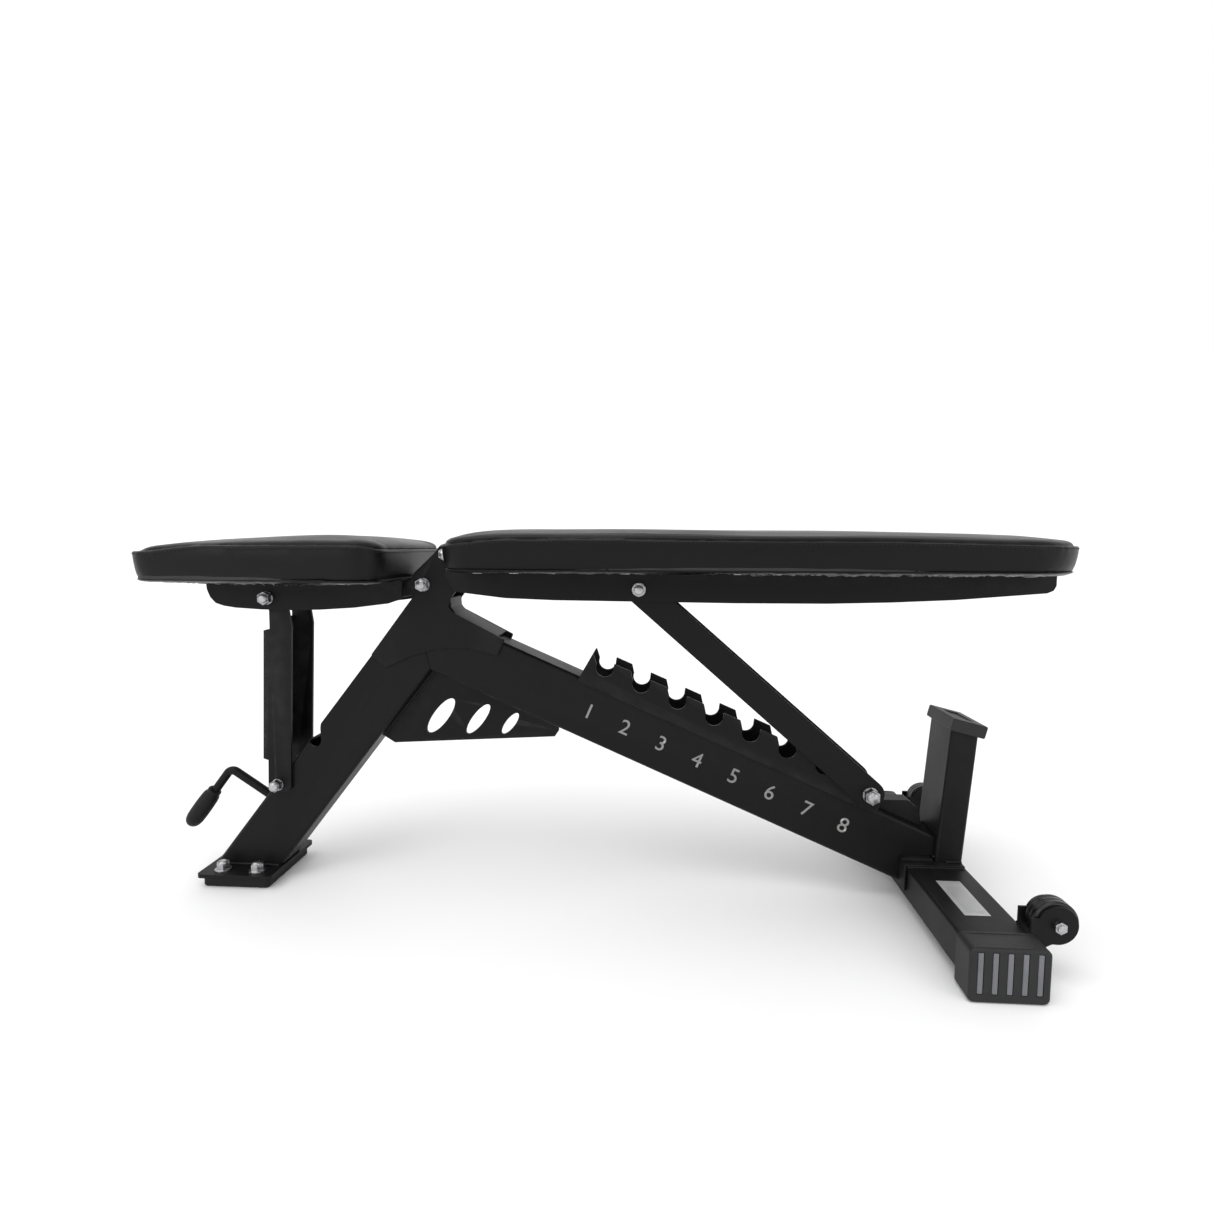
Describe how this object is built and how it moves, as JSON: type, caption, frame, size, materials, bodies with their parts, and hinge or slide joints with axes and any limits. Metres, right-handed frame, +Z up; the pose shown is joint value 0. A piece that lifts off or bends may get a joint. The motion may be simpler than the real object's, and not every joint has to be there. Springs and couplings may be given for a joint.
{
  "type": "adjustable weight bench",
  "caption": "Adjustable weight bench with a hinged back pad on a strut and notch ladder, a tilting seat, a rear stabilizer bar and small transport wheels.",
  "frame": {"origin": "on the floor under the middle of the bounding box", "axes": "+X to the rear end of the back pad, +Y across the bench to its right-hand side, +Z up"},
  "size_m": [1.0863, 0.44, 0.451],
  "materials": {
    "frame_paint": "satin black powder coat",
    "pad_vinyl": "semi-gloss black vinyl with a fine grain",
    "board": "plywood covered in black backing",
    "zinc_hardware": "bright zinc plate",
    "roller_steel": "dark turned steel",
    "foot_rubber": "matte rubber",
    "grip_rubber": "soft textured grip",
    "cap_plastic": "moulded black plastic",
    "wheel_plastic": "moulded black wheel",
    "label_film": "silver printed film"
  },
  "bodies": {
    "frame": {"front_leg": "frame_paint", "main_beam": "frame_paint", "hub_plate_left": "frame_paint", "hub_plate_right": "frame_paint", "hub_web": "frame_paint", "gusset_plate": "frame_paint", "ladder_plate_left": "frame_paint", "ladder_plate_right": "frame_paint", "decline_rest_block": "frame_paint", "front_foot_plate": "frame_paint", "front_foot_rubber": "foot_rubber", "front_foot_bolts": "zinc_hardware", "rear_stabilizer": "frame_paint", "saddle_plate": "frame_paint", "saddle_doubler": "frame_paint", "stabilizer_cap_left": "cap_plastic", "stabilizer_cap_right": "cap_plastic", "rear_post": "frame_paint", "rear_post_cap": "cap_plastic", "wheel_bracket_left": "frame_paint", "wheel_bracket_right": "frame_paint", "wheel_axles": "zinc_hardware", "back_pivot_bolt": "zinc_hardware", "seat_pivot_bolt": "zinc_hardware", "rating_label": "label_film"},
    "seat": {"seat_pad": "pad_vinyl", "seat_board": "board", "seat_bracket_left": "frame_paint", "seat_bracket_right": "frame_paint", "seat_hinge_lug": "frame_paint", "support_pivot_bolt": "zinc_hardware", "seat_board_screws": "zinc_hardware"},
    "seat_support": {"support_channel": "frame_paint", "support_pin_sleeve": "roller_steel", "support_pin_bolt": "zinc_hardware", "handle_rod": "frame_paint", "handle_grip": "grip_rubber"},
    "back": {"back_pad": "pad_vinyl", "back_board": "board", "back_bracket_left": "frame_paint", "back_bracket_right": "frame_paint", "back_hinge_lug": "frame_paint", "back_rear_tie": "frame_paint", "strut_pivot_bolt": "zinc_hardware", "back_board_screws": "zinc_hardware"},
    "strut": {"strut_plate_left": "frame_paint", "strut_plate_right": "frame_paint", "strut_brace": "frame_paint", "strut_roller": "roller_steel", "roller_bolt": "zinc_hardware"},
    "wheel_left": {"wheel_left": "wheel_plastic"},
    "wheel_right": {"wheel_right": "wheel_plastic"}
  },
  "joints": [
    {"name": "back_hinge", "type": "hinge", "parent": "frame", "child": "back", "pos_m": [-0.1715, 0, 0.4217], "axis": [0, -1, 0], "range_deg": [0, 75]},
    {"name": "strut_hinge", "type": "hinge", "parent": "back", "child": "strut", "pos_m": [0.0636, 0, 0.3806], "axis": [0, -1, 0], "range_deg": [-101.3, 0]},
    {"name": "seat_hinge", "type": "hinge", "parent": "frame", "child": "seat", "pos_m": [-0.2012, 0, 0.3842], "axis": [0, 1, 0], "range_deg": [0, 15]},
    {"name": "support_hinge", "type": "hinge", "parent": "seat", "child": "seat_support", "pos_m": [-0.3938, 0, 0.3671], "axis": [0, 1, 0], "range_deg": [-19.3, 0]},
    {"name": "wheel_left_spin", "type": "hinge", "parent": "frame", "child": "wheel_left", "pos_m": [0.4825, -0.1705, 0.06], "axis": [0, 1, 0], "continuous": true},
    {"name": "wheel_right_spin", "type": "hinge", "parent": "frame", "child": "wheel_right", "pos_m": [0.4825, 0.1705, 0.06], "axis": [0, 1, 0], "continuous": true}
  ],
  "couplings": [
    {"joint": "strut_hinge", "follows": "back_hinge", "ratio": -1.35},
    {"joint": "support_hinge", "follows": "seat_hinge", "ratio": -1.28}
  ]
}
